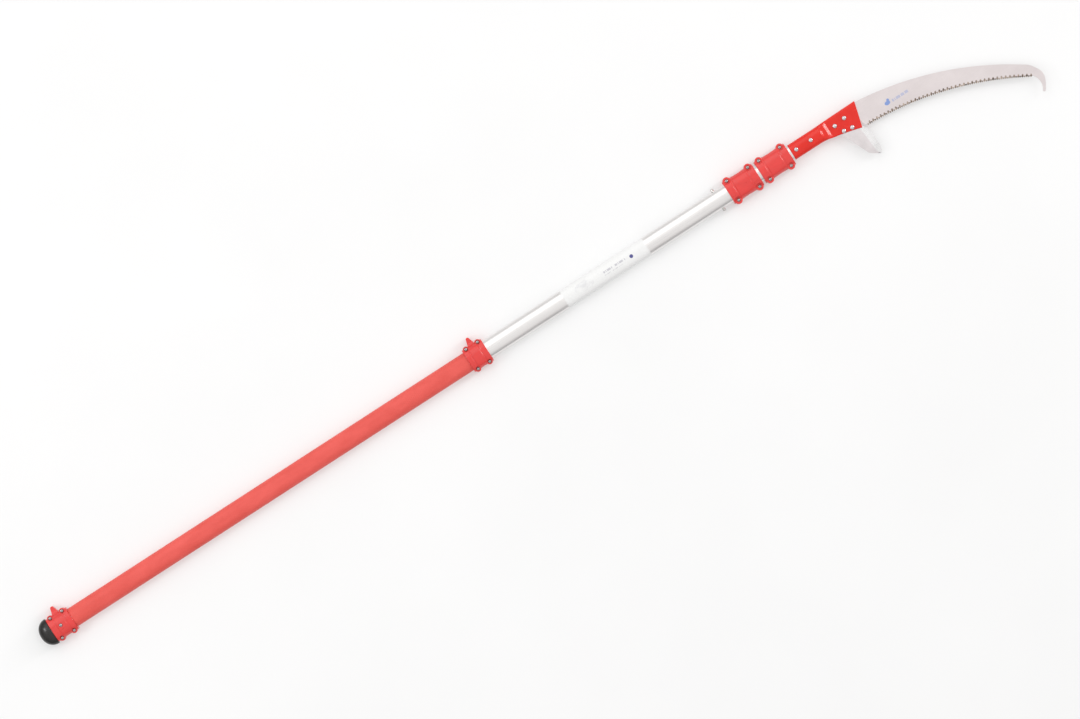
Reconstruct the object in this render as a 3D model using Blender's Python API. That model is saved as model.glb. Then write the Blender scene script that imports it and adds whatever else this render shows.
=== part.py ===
"""Telescoping pole saw, collapsed and lying on the back faces of its clamps.

Three oval aluminium poles run one inside the next, with moulded clamps, bushes and spring lock buttons.
The head on the top pole holds a curved saw blade and a short sickle.
+X runs along the poles to the blade, +Y is the side of the blade's spine, and +Z is up.
Lengths are in millimetres here, and each mesh turns them into metres."""

import math

import bmesh
import bpy
from mathutils import Matrix, Vector

MM = 0.001

# Driving dimensions, in millimetres. Stations run along the poles from the rubber butt's tip.
AXIS_HEIGHT = 22.0  # pole axis above the faces that the saw rests on
WALL = 1.5  # pole wall
GAP = 0.3  # room between touching pieces
OVAL = 2.3  # exponent of the poles' oval section
BASE = (24.0, 17.0)  # half width and half depth of each pole's outside
MIDDLE = (21.5, 14.5)
TOP = (19.0, 12.0)
MIDDLE_TRAVEL = 1738.0
TOP_TRAVEL = 1501.0

CAP_LENGTH = 33.0
BUTT_CLAMP = (33.3, 92.0)
GRIP = (92.6, 1260.0)
HANDLE_COLLAR = (1260.3, 1315.3)
LABEL = (1543.0, 1785.0)
LOCK_STATION = 1996.5  # lock holes and release buttons
LOWER_COLLAR = (2027.0, 2113.0)
UPPER_COLLAR = (2120.0, 2207.0)
HEAD_START = 2212.5
HEAD_DATUM = 2226.0  # first rivet, from which the head and its blades are laid out
COLLAR_LIP = 14.5  # from the end of a pole to the end of the collar on it
BASE_POLE = (CAP_LENGTH + 0.8, LOWER_COLLAR[1] - COLLAR_LIP)
MIDDLE_POLE = (LOCK_STATION - MIDDLE_TRAVEL - 43.5, UPPER_COLLAR[1] - COLLAR_LIP)
TOP_POLE = (LOCK_STATION - TOP_TRAVEL - 40.5, HEAD_DATUM + 70.0)
ORIGIN_STATION = (BUTT_CLAMP[0] + BUTT_CLAMP[1]) / 2

LUG_HEIGHT = 12.0  # clamp lugs, from the split
SCREW_HEAD = (4.3, 2.4)  # radius and height
SCREW_SHANK = 2.0
SCREW_HOLE = 2.4
SCREW_REACH = 8.8  # shank below the split
LEAF_LENGTH = 100.0
BUTTON_RADIUS = 3.8
LOCK_HOLE = 5.3
BLADE_HALF = 0.7  # half the thickness of the blade and the sickle
SLOT_HALF = 1.0
PLATE_HALF = 5.0  # half the thickness of the head's flat cheeks
BOLT_SHANK = 2.5
BOLT_HOLE = 2.9
BOLT_HEAD = 5.6
RIVETS = (0.0, 42.8)
BLADE_BOLTS = ((112.0, -3.0), (142.0, 1.0))
SICKLE_BOLTS = ((124.7, -25.5), (147.0, -29.3))
TOOTH_PITCH = 5.2
TOOTH_DEPTH = 4.2

RED = (0.76, 0.065, 0.05)
HEAD_RED = (0.75, 0.025, 0.015)
SILVER = (0.82, 0.81, 0.80)
STEEL = (0.72, 0.70, 0.70)
BLACK = (0.02, 0.018, 0.017)
WHITE = (0.85, 0.85, 0.84)
GREY = (0.25, 0.25, 0.26)


# ---- Scene, sections and materials ----

def clear_scene():
    for old in list(bpy.data.objects):
        bpy.data.objects.remove(old, do_unlink=True)


def finish(name, colour, roughness, metallic=0.0):
    """A Principled material for one piece."""
    made = bpy.data.materials.new(name + "_finish")
    made.use_nodes = True
    shader = made.node_tree.nodes["Principled BSDF"]
    shader.inputs["Base Color"].default_value = (*colour, 1.0)
    shader.inputs["Roughness"].default_value = roughness
    shader.inputs["Metallic"].default_value = metallic
    made.diffuse_color = (*colour, 1.0)
    return made


def world(station, y=0.0, z=0.0):
    """World point of a station on the pole axis, moved sideways by y and up by z."""
    return Vector((station - ORIGIN_STATION, y, AXIS_HEIGHT + z)) * MM


def section(name, station, parent=None):
    """Empty that carries one telescoping section, on the pole axis at its foot."""
    frame = bpy.data.objects.new(name, None)
    bpy.context.scene.collection.objects.link(frame)
    frame.parent = parent
    frame.location = world(station) - (parent.matrix_world.translation if parent else Vector())
    bpy.context.view_layer.update()
    return frame


def add(name, bm, finishing, frame, station, y=0.0, z=0.0, turn=0.0):
    """Object made of bm, carried by a section, with its own origin at station, y and z."""
    bmesh.ops.recalc_face_normals(bm, faces=bm.faces)
    bmesh.ops.scale(bm, vec=(MM, MM, MM), verts=bm.verts)
    mesh = bpy.data.meshes.new(name)
    bm.to_mesh(mesh)
    bm.free()
    mesh.shade_smooth()
    mesh.set_sharp_from_angle(angle=math.radians(35))
    made = bpy.data.objects.new(name, mesh)
    bpy.context.scene.collection.objects.link(made)
    if finishing:
        mesh.materials.append(finish(name, *finishing))
    made.parent = frame
    made.location = world(station, y, z) - frame.matrix_world.translation
    made.rotation_euler.z = turn
    return made


def boolean(target, bm, operation, frame, station, y=0.0, z=0.0):
    """Joins or cuts target with bm, which stays in the scene as a hidden guide."""
    count = len(target.modifiers)
    tool = add(f"{target.name}_tool_{count}", bm, None, frame, station, y, z)
    tool.hide_render = True
    tool.display_type = "WIRE"
    step = target.modifiers.new(f"{operation.lower()}_{count}", "BOOLEAN")
    step.operation = operation
    step.solver = "EXACT"
    step.object = tool


# ---- Shapes ----

def oval(half_y, half_z, count=24, power=OVAL, middle=0.0):
    """Points of an oval section in the YZ plane."""
    ring = []
    for k in range(count):
        a = 2 * math.pi * (k + 0.5) / count
        c, s = math.cos(a), math.sin(a)
        ring.append((middle + half_y * math.copysign(abs(c) ** (2 / power), c),
                     half_z * math.copysign(abs(s) ** (2 / power), s)))
    return ring


def loft(rings):
    """Closed body through rings of points, with its first and last ring capped."""
    bm = bmesh.new()
    rows = [[bm.verts.new(p) for p in ring] for ring in rings]
    for one, other in zip(rows, rows[1:]):
        for k in range(len(one)):
            j = (k + 1) % len(one)
            bm.faces.new((one[k], one[j], other[j], other[k]))
    bm.faces.new(rows[0])
    bm.faces.new(rows[-1])
    return bm


def along_x(stations):
    """Closed body through (x, section) pairs."""
    return loft([[(x, y, z) for y, z in ring] for x, ring in stations])


def tube(length, outer, inner):
    """Open oval tube from x = 0, given its outer and inner half sizes."""
    bm = bmesh.new()
    order = ((0.0, outer), (length, outer), (length, inner), (0.0, inner))
    rows = [[bm.verts.new((x, y, z)) for y, z in oval(*size)] for x, size in order]
    for one, other in zip(rows, rows[1:] + rows[:1]):
        for k in range(len(one)):
            j = (k + 1) % len(one)
            bm.faces.new((one[k], one[j], other[j], other[k]))
    return bm


def plate(outline, low, high):
    """Flat body between two heights, with the given outline in the XY plane."""
    return loft([[(x, y, low) for x, y in outline], [(x, y, high) for x, y in outline]])


def turned(profile, count=10, turn=None):
    """Round body about +Z from (radius, height) pairs, turned by a matrix if one is given."""
    rings = []
    for radius, height in profile:
        angles = [2 * math.pi * k / count for k in range(count)]
        rings.append([(radius * math.cos(a), radius * math.sin(a), height) for a in angles])
    bm = loft(rings)
    if turn:
        bmesh.ops.transform(bm, matrix=turn, verts=bm.verts)
    return bm


def block(low, high):
    x0, y0, z0 = low
    x1, y1, z1 = high
    return plate([(x0, y0), (x1, y0), (x1, y1), (x0, y1)], z0, z1)


def arc(middle, radius, first, last, steps):
    """Points of an arc between two angles in degrees."""
    made = []
    for k in range(steps + 1):
        a = math.radians(first + (last - first) * k / steps)
        made.append((middle[0] + radius * math.cos(a), middle[1] + radius * math.sin(a)))
    return made


def bowed(start, end, rise, steps):
    """Points of the arc from start to end that stands off their chord by rise, to its left."""
    chord = math.dist(start, end)
    radius = chord * chord / (8 * rise) + rise / 2
    half = math.asin(chord / 2 / radius)
    ux, uy = (end[0] - start[0]) / chord, (end[1] - start[1]) / chord
    made = []
    for k in range(steps + 1):
        a = half * (2 * k / steps - 1)
        along = chord / 2 + radius * math.sin(a)
        off = radius * math.cos(a) - (radius - rise)
        made.append((start[0] + ux * along - uy * off, start[1] + uy * along + ux * off))
    return made


SIDEWAYS = Matrix.Rotation(-math.pi / 2, 4, "X")  # turns +Z to +Y


# ---- Poles, sleeves, bushes and the butt ----

def pole(name, span, size, frame, holes):
    """Drawn oval tube with a pair of lock holes through its narrow sides at each given station."""
    inner = (size[0] - WALL, size[1] - WALL)
    made = add(name, tube(span[1] - span[0], size, inner), (SILVER, 0.32, 1.0), frame, span[0])
    for hole in holes:
        drill = turned([(LOCK_HOLE, -40), (LOCK_HOLE, 40)], 12, SIDEWAYS)
        boolean(made, drill, "DIFFERENCE", frame, hole)
    return made


def sleeve(name, span, size, thickness, finishing, frame):
    """Thin sleeve that is fitted tight round a pole."""
    inner = (size[0] + GAP, size[1] + GAP)
    outer = (inner[0] + thickness, inner[1] + thickness)
    return add(name, tube(span[1] - span[0], outer, inner), finishing, frame, span[0])


def bush(name, start, length, around, slides_on, frame):
    """Ring that lines the end of a collar and guides the pole which slides in it."""
    inner = (slides_on[0] + GAP, slides_on[1] + GAP)
    return add(name, tube(length, around, inner), (GREY, 0.45), frame, start)


def foot_guide(name, size, outside, frame, foot):
    """Flanged ring in the foot of a pole, which runs inside the next larger pole."""
    flange = (outside[0] - WALL - 0.4, outside[1] - WALL - 0.4)
    spigot = (size[0] - WALL - GAP, size[1] - WALL - GAP)
    bore = (spigot[0] - 2.5, spigot[1] - 2.5)
    bm = bmesh.new()
    order = ((-8, flange), (-GAP, flange), (-GAP, spigot), (20, spigot), (20, bore), (-8, bore))
    rows = [[bm.verts.new((x, y, z)) for y, z in oval(*half)] for x, half in order]
    for one, other in zip(rows, rows[1:] + rows[:1]):
        for k in range(len(one)):
            j = (k + 1) % len(one)
            bm.faces.new((one[k], one[j], other[j], other[k]))
    return add(name, bm, (GREY, 0.45), frame, foot)


def end_cap(frame):
    """Rubber butt: a dome with a plug that fills the end of the base pole."""
    half_y, half_z, steps = 35.0, 21.4, 6
    stations = []
    for k in range(steps + 1):
        a = math.radians(8 + 82 * k / steps)
        stations.append((CAP_LENGTH * (1 - math.cos(a)), oval(half_y * math.sin(a), half_z * math.sin(a))))
    plug = oval(BASE[0] - WALL - GAP, BASE[1] - WALL - GAP)
    stations += [(CAP_LENGTH, plug), (CAP_LENGTH + 40, plug)]
    made = add("end_cap", along_x(stations), (BLACK, 0.5), frame, 0.0)
    drill = turned([(BOLT_HOLE, -9), (BOLT_HOLE, 40)])
    boolean(made, drill, "DIFFERENCE", frame, ORIGIN_STATION - 3)
    return made


# ---- Clamps ----

def rounded_half(half_y, half_z, corner, below=-2.0):
    """Upper half of a rounded rectangle in the YZ plane, carried down past the split."""
    left = arc((half_z - corner, -(half_y - corner)), corner, -90, 0, 4)
    right = arc((half_z - corner, half_y - corner), corner, 0, 90, 4)
    return [(-half_y, below)] + [(y, z) for z, y in left + right] + [(half_y, below)]


def lug_outline(half_x, waist, lug, radius):
    """Outline of a clamp's split flange: a waisted rectangle with a round lug at each corner."""
    x, y = lug
    quarter = [(half_x, y - radius / 2)] + arc(lug, radius, 0, 150, 5)
    quarter += [(x - radius - 4, waist), (0.0, waist - 0.4)]
    top = quarter + [(-px, py) for px, py in reversed(quarter[:-1])]
    return top + [(px, -py) for px, py in reversed(top)]


def ear_outline(waist, reach=52.0):
    """Outline of the pointed ear on the spine side."""
    tip = arc((0, reach - 4.6), 4.6, 16, 164, 4)
    return [(9.4, waist - 12), (9.0, waist + 1)] + tip + [(-9.0, waist + 1), (-9.4, waist - 12)]


def clamp_shell(name, side, span, shape, bore, frame, ear=False, lip=None, centre_screw=False):
    """One moulded half of a clamp. side is 1 for the front half and -1 for the back half."""
    half_x = (span[1] - span[0]) / 2
    middle = (span[0] + span[1]) / 2
    high, waist, lug, radius, band, pad = (shape[k] for k in ("high", "waist", "lug", "radius", "band", "pad"))
    body = waist - 2.5

    def flip(bm):
        bmesh.ops.scale(bm, vec=(1, 1, side), verts=bm.verts)
        return bm

    end, mid = rounded_half(body, high - 0.8, 13.0), rounded_half(body - 1.2, high - 1.8, 12.0)
    step = half_x - band
    barrel = along_x([(-half_x, end), (-step - 1, end), (-step, mid), (step, mid), (step + 1, end), (half_x, end)])
    made = add(name, flip(barrel), (RED, 0.35), frame, middle)
    flange = plate(lug_outline(half_x, waist, lug, radius), -3.0, LUG_HEIGHT)
    boolean(made, flip(flange), "UNION", frame, middle)
    px, py = pad
    corners = [arc((sx * (px - 4), sy * (py - 4)), 4, a, a + 90, 2)
               for sx, sy, a in ((1, 1, 0), (-1, 1, 90), (-1, -1, 180), (1, -1, 270))]
    boolean(made, flip(plate(sum(corners, []), 1.0, high)), "UNION", frame, middle)
    if ear:
        boolean(made, flip(plate(ear_outline(waist), -4.0, 6.0)), "UNION", frame, middle)
    boolean(made, flip(block((-60, -60, -9), (60, 60, GAP / 2))), "DIFFERENCE", frame, middle)
    hollow = oval(bore[0] + GAP, bore[1] + GAP)
    end_of_bore = half_x - 1.5 if lip else half_x + 5
    boolean(made, along_x([(-half_x - 5, hollow), (end_of_bore, hollow)]), "DIFFERENCE", frame, middle)
    if lip:
        mouth = oval(lip[0] + 0.9, lip[1] + 0.9)
        boolean(made, along_x([(0, mouth), (half_x + 5, mouth)]), "DIFFERENCE", frame, middle)
    for sx in (-1, 1):
        for sy in (-1, 1):
            x, y = middle + sx * lug[0], sy * lug[1]
            if side > 0:
                seat = LUG_HEIGHT - SCREW_HEAD[1] - 0.6
                wide = SCREW_HEAD[0] + GAP
                drill = [(SCREW_HOLE, -1), (SCREW_HOLE, seat), (wide, seat), (wide, LUG_HEIGHT + 5)]
            else:
                drill = [(SCREW_HOLE, -SCREW_REACH - 0.5), (SCREW_HOLE, 1)]
            boolean(made, turned(drill), "DIFFERENCE", frame, x, y)
    if centre_screw:
        seat = high - SCREW_HEAD[1] - 0.2
        wide = SCREW_HEAD[0] + GAP
        drill = [(BOLT_HOLE, 5), (BOLT_HOLE, seat), (wide, seat), (wide, high + 5)]
        boolean(made, turned(drill), "DIFFERENCE", frame, middle - 3)
    return made


def clamp(name, span, shape, bore, frame, ear=False, lip=None, centre_screw=False):
    """Both halves of a clamp and the four screws that draw them together."""
    clamp_shell(name + "_front", 1, span, shape, bore, frame, ear, lip, centre_screw)
    clamp_shell(name + "_back", -1, span, shape, bore, frame, ear, lip)
    middle = (span[0] + span[1]) / 2
    under = LUG_HEIGHT - SCREW_HEAD[1] - 0.3
    number = 0
    for sx in (-1, 1):
        for sy in (-1, 1):
            number += 1
            screw(f"{name}_screw_{number}", -SCREW_REACH, under, SCREW_SHANK, frame,
                  middle + sx * shape["lug"][0], sy * shape["lug"][1])


def screw(name, end, under, shank, frame, station, y=0.0):
    """Pan head screw with its axis along Z, from its end to the underside of its head."""
    radius, height = SCREW_HEAD
    profile = [(shank - 0.5, end), (shank, end + 0.8), (shank, under), (radius, under),
               (radius, under + 0.9), (radius - 1.2, under + height)]
    return add(name, turned(profile), (STEEL, 0.3, 1.0), frame, station, y)


# ---- Lock buttons ----

def leaf_button(name, size, tip, station, side, pressed, frame):
    """Spring leaf along a pole's inner side with a lock button at its end. Its origin is the leaf's fixed end.

    tip is how far the button's end stands from the pole axis when it is out, and pressed is how far the
    leaf is swung in, in degrees. side is 1 on the spine side and -1 on the tooth side."""
    root = size[0] - WALL - 2.3
    leaf = [(-LEAF_LENGTH - 5, -4), (-LEAF_LENGTH - 5, 4), (3, 4), (3, -4)]
    bm = plate(leaf, 0.0, 0.8)
    bmesh.ops.transform(bm, matrix=Matrix.Rotation(math.pi / 2, 4, "X"), verts=bm.verts)
    bmesh.ops.scale(bm, vec=(1, -side, 1), verts=bm.verts)
    made = add(name, bm, (STEEL, 0.25, 1.0), frame, station + LEAF_LENGTH, side * root,
               turn=side * math.radians(pressed))
    reach = tip - root
    knob = turned([(BUTTON_RADIUS, 0.3), (BUTTON_RADIUS, reach - 2), (BUTTON_RADIUS - 1.0, reach - 0.6),
                   (BUTTON_RADIUS - 2.4, reach)], 12, SIDEWAYS)
    bmesh.ops.scale(knob, vec=(1, side, 1), verts=knob.verts)
    bmesh.ops.translate(knob, vec=(-LEAF_LENGTH, 0, 0), verts=knob.verts)
    boolean(made, knob, "UNION", frame, station + LEAF_LENGTH, side * root)
    tool = made.modifiers[-1].object
    tool.rotation_euler.z = made.rotation_euler.z
    return made


# ---- Head and blades ----

def head_sections():
    """The head's sections from the oval socket to the flared cheeks: x, low y, high y, half depth, exponent."""
    return ((HEAD_START - HEAD_DATUM, -20.8, 20.8, 13.8, 2.3), (58, -20.8, 20.8, 13.8, 2.3),
            (72, -21.3, 21.1, 13.8, 2.5), (78, -22.0, 21.3, 11.6, 3.4), (88, -23.9, 21.6, 9.6, 5.0),
            (95, -25.8, 21.9, PLATE_HALF, 6.0), (122, -31.4, 22.4, PLATE_HALF, 6.0),
            (150, -38.4, 23.0, PLATE_HALF, 6.0), (168, -43.2, 23.2, PLATE_HALF, 6.0))


def head_front(y):
    """How far the slanted front edge stands ahead of the last section."""
    return 18.5 * max(0.0, (y + 43.2) / 66.4) ** 0.8


def saw_head(frame):
    rings = []
    for x, low, high, half_z, power in head_sections():
        ring = oval((high - low) / 2, half_z, 24, power, (high + low) / 2)
        last = x == head_sections()[-1][0]
        rings.append([(x + (head_front(y) if last else 0.0), y, z) for y, z in ring])
    bm = loft(rings)
    bm.faces.ensure_lookup_table()
    bm.verts.ensure_lookup_table()
    bm.faces.remove(bm.faces[-1])
    front = bm.verts[-len(rings[-1]):]
    for k in range(len(front) // 2 - 1):  # flat strips close the curved front edge
        bm.faces.new((front[k], front[k + 1], front[-k - 2], front[-k - 1]))
    made = add("saw_head", bm, (HEAD_RED, 0.22), frame, HEAD_DATUM)
    socket = oval(TOP[0] + GAP, TOP[1] + GAP)
    boolean(made, along_x([(-30, socket), (TOP_POLE[1] - HEAD_DATUM + 2, socket)]), "DIFFERENCE", frame, HEAD_DATUM)
    boolean(made, block((97, -70, -SLOT_HALF), (210, 20.4, SLOT_HALF)), "DIFFERENCE", frame, HEAD_DATUM)
    for x, y in BLADE_BOLTS + SICKLE_BOLTS + tuple((r, 0.0) for r in RIVETS):
        drill = turned([(BOLT_HOLE, -20), (BOLT_HOLE, 20)])
        boolean(made, drill, "DIFFERENCE", frame, HEAD_DATUM + x, y)
    return made


def tooth_line():
    """Toothed edge as an arc from the heel to the tip, cut by raked teeth."""
    start, end = (187.0, -46.0), (587.5, -166.0)
    count = int(math.dist(start, end) / TOOTH_PITCH)
    edge = bowed(start, end, 25.8, count)
    made = []
    for one, other in zip(edge, edge[1:]):
        ux, uy = (other[0] - one[0]) / TOOTH_PITCH, (other[1] - one[1]) / TOOTH_PITCH
        root = (one[0] + 0.55 * (other[0] - one[0]) - uy * TOOTH_DEPTH,
                one[1] + 0.55 * (other[1] - one[1]) + ux * TOOTH_DEPTH)
        made += [one, root]
    return made + [edge[-1]]


def saw_blade(frame):
    tang = [(161.0, 19.8), (150.0, 13.5), (100.0, 13.5), (100.0, -13.5), (158.0, -13.5), (171.0, -20.0)]
    heel = [(176.5, -40.0)]
    hook = [(596.0, -173.0), (600.5, -183.0), (601.0, -195.0), (592.5, -210.5), (598.0, -214.0),
            (614.0, -188.0), (617.5, -172.0), (610.0, -153.0)]
    spine = list(reversed(bowed((189.0, 19.8), (596.0, -135.0), 28.5, 24)))
    outline = tang + heel + tooth_line() + hook + spine
    made = add("saw_blade", plate(outline, -BLADE_HALF, BLADE_HALF), (STEEL, 0.3, 1.0), frame, HEAD_DATUM)
    for x, y in BLADE_BOLTS:
        drill = turned([(BOLT_HOLE, -9), (BOLT_HOLE, 9)])
        boolean(made, drill, "DIFFERENCE", frame, HEAD_DATUM + x, y)
    return made


def sickle_blade(frame):
    """Short cutter under the head, with a ground bevel along its front edge."""
    back = [(162.0, -17.5), (113.0, -17.5), (113.0, -33.0), (118.5, -38.0), (147.5, -104.0), (166.0, -118.0)]
    edge = [(175.5, -121.8), (180.5, -117.0), (182.5, -98.0), (182.0, -76.0), (178.5, -57.0), (172.0, -44.0),
            (165.5, -33.0)]
    land = [(169.5, -117.0), (166.5, -112.0), (165.6, -98.0), (165.0, -76.0), (163.6, -57.0), (161.5, -44.0),
            (160.0, -33.0)]
    bm = bmesh.new()
    flat = {h: [bm.verts.new((x, y, h)) for x, y in back + land] for h in (-BLADE_HALF, BLADE_HALF)}
    sharp = {h: [bm.verts.new((x, y, h * 0.25)) for x, y in edge] for h in (-BLADE_HALF, BLADE_HALF)}
    first = len(back)
    for h in flat:
        bm.faces.new(flat[h])
        for k in range(len(edge) - 1):
            bm.faces.new((flat[h][first + k], flat[h][first + k + 1], sharp[h][k + 1], sharp[h][k]))
    low, high = -BLADE_HALF, BLADE_HALF
    for k in range(first - 1):
        bm.faces.new((flat[low][k], flat[low][k + 1], flat[high][k + 1], flat[high][k]))
    for k in range(len(edge) - 1):
        bm.faces.new((sharp[low][k], sharp[low][k + 1], sharp[high][k + 1], sharp[high][k]))
    bm.faces.new((flat[low][first - 1], flat[low][first], sharp[low][0], sharp[high][0], flat[high][first],
                  flat[high][first - 1]))
    bm.faces.new((flat[low][-1], flat[low][0], flat[high][0], flat[high][-1], sharp[high][-1], sharp[low][-1]))
    made = add("sickle_blade", bm, (STEEL, 0.25, 1.0), frame, HEAD_DATUM)
    for x, y in SICKLE_BOLTS:
        drill = turned([(BOLT_HOLE, -9), (BOLT_HOLE, 9)])
        boolean(made, drill, "DIFFERENCE", frame, HEAD_DATUM + x, y)
    return made


def bolt_and_nut(name, x, y, frame):
    """Dome head bolt through both cheeks, with its nut on the back."""
    under, end = PLATE_HALF + GAP, -PLATE_HALF - 4.6
    profile = [(BOLT_SHANK - 0.5, end), (BOLT_SHANK, end + 0.6), (BOLT_SHANK, under), (BOLT_HEAD, under),
               (BOLT_HEAD, under + 0.8), (BOLT_HEAD - 1.4, under + 2.4), (BOLT_HEAD - 3.6, under + 3.2)]
    add(name + "_bolt", turned(profile), (STEEL, 0.3, 1.0), frame, HEAD_DATUM + x, y)
    nut = add(name + "_nut", turned([(4.9, -PLATE_HALF - 4.0), (4.9, -PLATE_HALF - GAP)], 6),
              (STEEL, 0.35, 1.0), frame, HEAD_DATUM + x, y)
    boolean(nut, turned([(BOLT_HOLE, -20), (BOLT_HOLE, 0)]), "DIFFERENCE", frame, HEAD_DATUM + x, y)


def head_rivet(name, x, frame):
    """Rivet through the socket and the top pole, with a dome at each end."""
    under = 13.8 + GAP
    dome = [(5.2, under), (5.2, under + 0.7), (3.9, under + 2.0), (1.8, under + 2.7)]
    profile = [(r, -h) for r, h in reversed(dome)] + [(BOLT_SHANK, -under), (BOLT_SHANK, under)] + dome
    add(name, turned(profile), (STEEL, 0.3, 1.0), frame, HEAD_DATUM + x)


# ---- Assembly ----

COLLAR = {"high": AXIS_HEIGHT, "waist": 31.5, "lug": (31.0, 28.0), "radius": 9.8, "band": 18.0, "pad": (20.0, 18.0)}
SMALL_COLLAR = {**COLLAR, "high": 20.0, "waist": 30.5, "lug": (31.0, 27.0), "radius": 9.6}
HANDLE = {"high": AXIS_HEIGHT, "waist": 31.5, "lug": (17.0, 28.4), "radius": 7.4, "band": 12.0, "pad": (12.0, 17.0)}

clear_scene()
base = section("base_section", ORIGIN_STATION)
middle = section("middle_section", MIDDLE_POLE[0], base)
top = section("top_section", TOP_POLE[0], middle)

base_pole = pole("base_pole", BASE_POLE, BASE, base, [LOCK_STATION])
boolean(base_pole, turned([(BOLT_HOLE, 5), (BOLT_HOLE, 30)]), "DIFFERENCE", base, ORIGIN_STATION - 3)
pole("middle_pole", MIDDLE_POLE, MIDDLE, middle, [LOCK_STATION, LOCK_STATION - MIDDLE_TRAVEL])
top_pole = pole("top_pole", TOP_POLE, TOP, top, [LOCK_STATION, LOCK_STATION - TOP_TRAVEL])
for rivet in RIVETS:
    boolean(top_pole, turned([(BOLT_HOLE, -30), (BOLT_HOLE, 30)]), "DIFFERENCE", top, HEAD_DATUM + rivet)

end_cap(base)
sleeve("grip_sleeve", GRIP, BASE, 1.2, (RED, 0.6), base)
sleeve("label_sleeve", LABEL, BASE, 0.3, (WHITE, 0.5), base)
clamp("butt_clamp", BUTT_CLAMP, {**HANDLE, "lug": (17.5, 28.4)}, BASE, base, ear=True, centre_screw=True)
screw("butt_centre_screw", -8.5, AXIS_HEIGHT - SCREW_HEAD[1] + 0.1 - 0.2, BOLT_SHANK, base, ORIGIN_STATION - 3)
clamp("handle_collar", HANDLE_COLLAR, HANDLE, BASE, base, ear=True)
clamp("lower_collar", LOWER_COLLAR, COLLAR, BASE, base, lip=MIDDLE)
clamp("upper_collar", UPPER_COLLAR, SMALL_COLLAR, MIDDLE, middle, lip=TOP)
bush("lower_collar_bush", BASE_POLE[1] + GAP, 12.0, BASE, MIDDLE, base)
bush("upper_collar_bush", MIDDLE_POLE[1] + GAP, 12.0, MIDDLE, TOP, middle)
foot_guide("middle_foot_guide", MIDDLE, BASE, middle, MIDDLE_POLE[0])
foot_guide("top_foot_guide", TOP, MIDDLE, top, TOP_POLE[0])

for word, side in (("left", 1), ("right", -1)):
    leaf_button(f"release_button_{word}", TOP, 32.0, LOCK_STATION, side, 0.0, top)
    leaf_button(f"top_foot_button_{word}", TOP, 28.0, LOCK_STATION - TOP_TRAVEL, side, 4.83, top)
    leaf_button(f"middle_foot_button_{word}", MIDDLE, 32.0, LOCK_STATION - MIDDLE_TRAVEL, side, 5.69, middle)

saw_head(top)
saw_blade(top)
sickle_blade(top)
for name, bolts in (("blade", BLADE_BOLTS), ("sickle", SICKLE_BOLTS)):
    for word, place in zip(("rear", "front"), bolts):
        bolt_and_nut(f"{name}_{word}", *place, top)
for word, x in zip(("rear", "front"), RIVETS):
    head_rivet(f"head_rivet_{word}", x, top)
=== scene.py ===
import math

import bpy
import numpy as np
from mathutils import Matrix, Vector


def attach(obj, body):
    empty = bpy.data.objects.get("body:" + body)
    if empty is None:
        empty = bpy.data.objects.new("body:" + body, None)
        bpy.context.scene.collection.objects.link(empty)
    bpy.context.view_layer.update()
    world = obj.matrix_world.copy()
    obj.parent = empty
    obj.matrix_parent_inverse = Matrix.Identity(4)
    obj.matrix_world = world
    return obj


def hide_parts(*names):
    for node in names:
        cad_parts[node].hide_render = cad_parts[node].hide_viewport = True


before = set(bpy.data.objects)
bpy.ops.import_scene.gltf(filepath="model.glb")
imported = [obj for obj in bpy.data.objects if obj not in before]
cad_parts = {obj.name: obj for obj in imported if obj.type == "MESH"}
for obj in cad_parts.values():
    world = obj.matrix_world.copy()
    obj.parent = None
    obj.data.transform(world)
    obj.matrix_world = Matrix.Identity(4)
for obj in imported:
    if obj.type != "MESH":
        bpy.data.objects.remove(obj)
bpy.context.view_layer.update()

MM = 0.001
ORIGIN_STATION = 62.65  # station of the saw's origin, counted from the rubber butt's tip
AXIS = 22.0  # height of the pole axis
HEAD = 2226.0  # station of the first rivet, from which the head and its blades are laid out

BASE = (24.0, 17.0)  # half width and half depth of each pole
MIDDLE = (21.5, 14.5)
TOP = (19.0, 12.0)
WALL = 1.5
LUG_HEIGHT = 12.0
PLATE_HALF = 5.0
BLADE_HALF = 0.7
PITCH = 5.2  # saw teeth
LOCKS = 1996.5
MIDDLE_TRAVEL = 1738.0
TOP_TRAVEL = 1501.0
BLADE_BOLTS = ((112.0, -3.0), (142.0, 1.0))
SICKLE_BOLTS = ((124.7, -25.5), (147.0, -29.3))
RIVETS = (0.0, 42.8)


# ---- Small helpers ----

def smooth(low, high, value):
    t = np.clip((value - low) / (high - low), 0.0, 1.0)
    return t * t * (3 - 2 * t)


def soft_max(a, b, width):
    return (a + b + np.sqrt((a - b) ** 2 + width ** 2)) / 2


def fillet(depth, radius):
    """How far a rounded edge has dropped at a depth in from the edge."""
    t = np.clip(1 - depth / radius, 0.0, 1.0)
    return radius * (1 - np.sqrt(1 - t * t))


def place(points):
    """Points in millimetres from the butt and the pole axis, as metres in the saw's own frame."""
    return (np.asarray(points, float) + (-ORIGIN_STATION, 0.0, AXIS)) * MM


def mesh_object(name, points, faces, sharp=34):
    mesh = bpy.data.meshes.new(name)
    mesh.from_pydata([tuple(p) for p in points], [], faces)
    mesh.validate()
    mesh.shade_smooth()
    mesh.set_sharp_from_angle(angle=math.radians(sharp))
    made = bpy.data.objects.new(name, mesh)
    bpy.context.scene.collection.objects.link(made)
    return made


def ring_faces(rows, count, closed=True, wrap=False):
    """Quads between rows of points. wrap also joins the last row to the first."""
    faces = []
    for r in range(rows if wrap else rows - 1):
        s = (r + 1) % rows
        for k in range(count if closed else count - 1):
            j = (k + 1) % count
            faces.append((r * count + k, r * count + j, s * count + j, s * count + k))
    return faces


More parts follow.
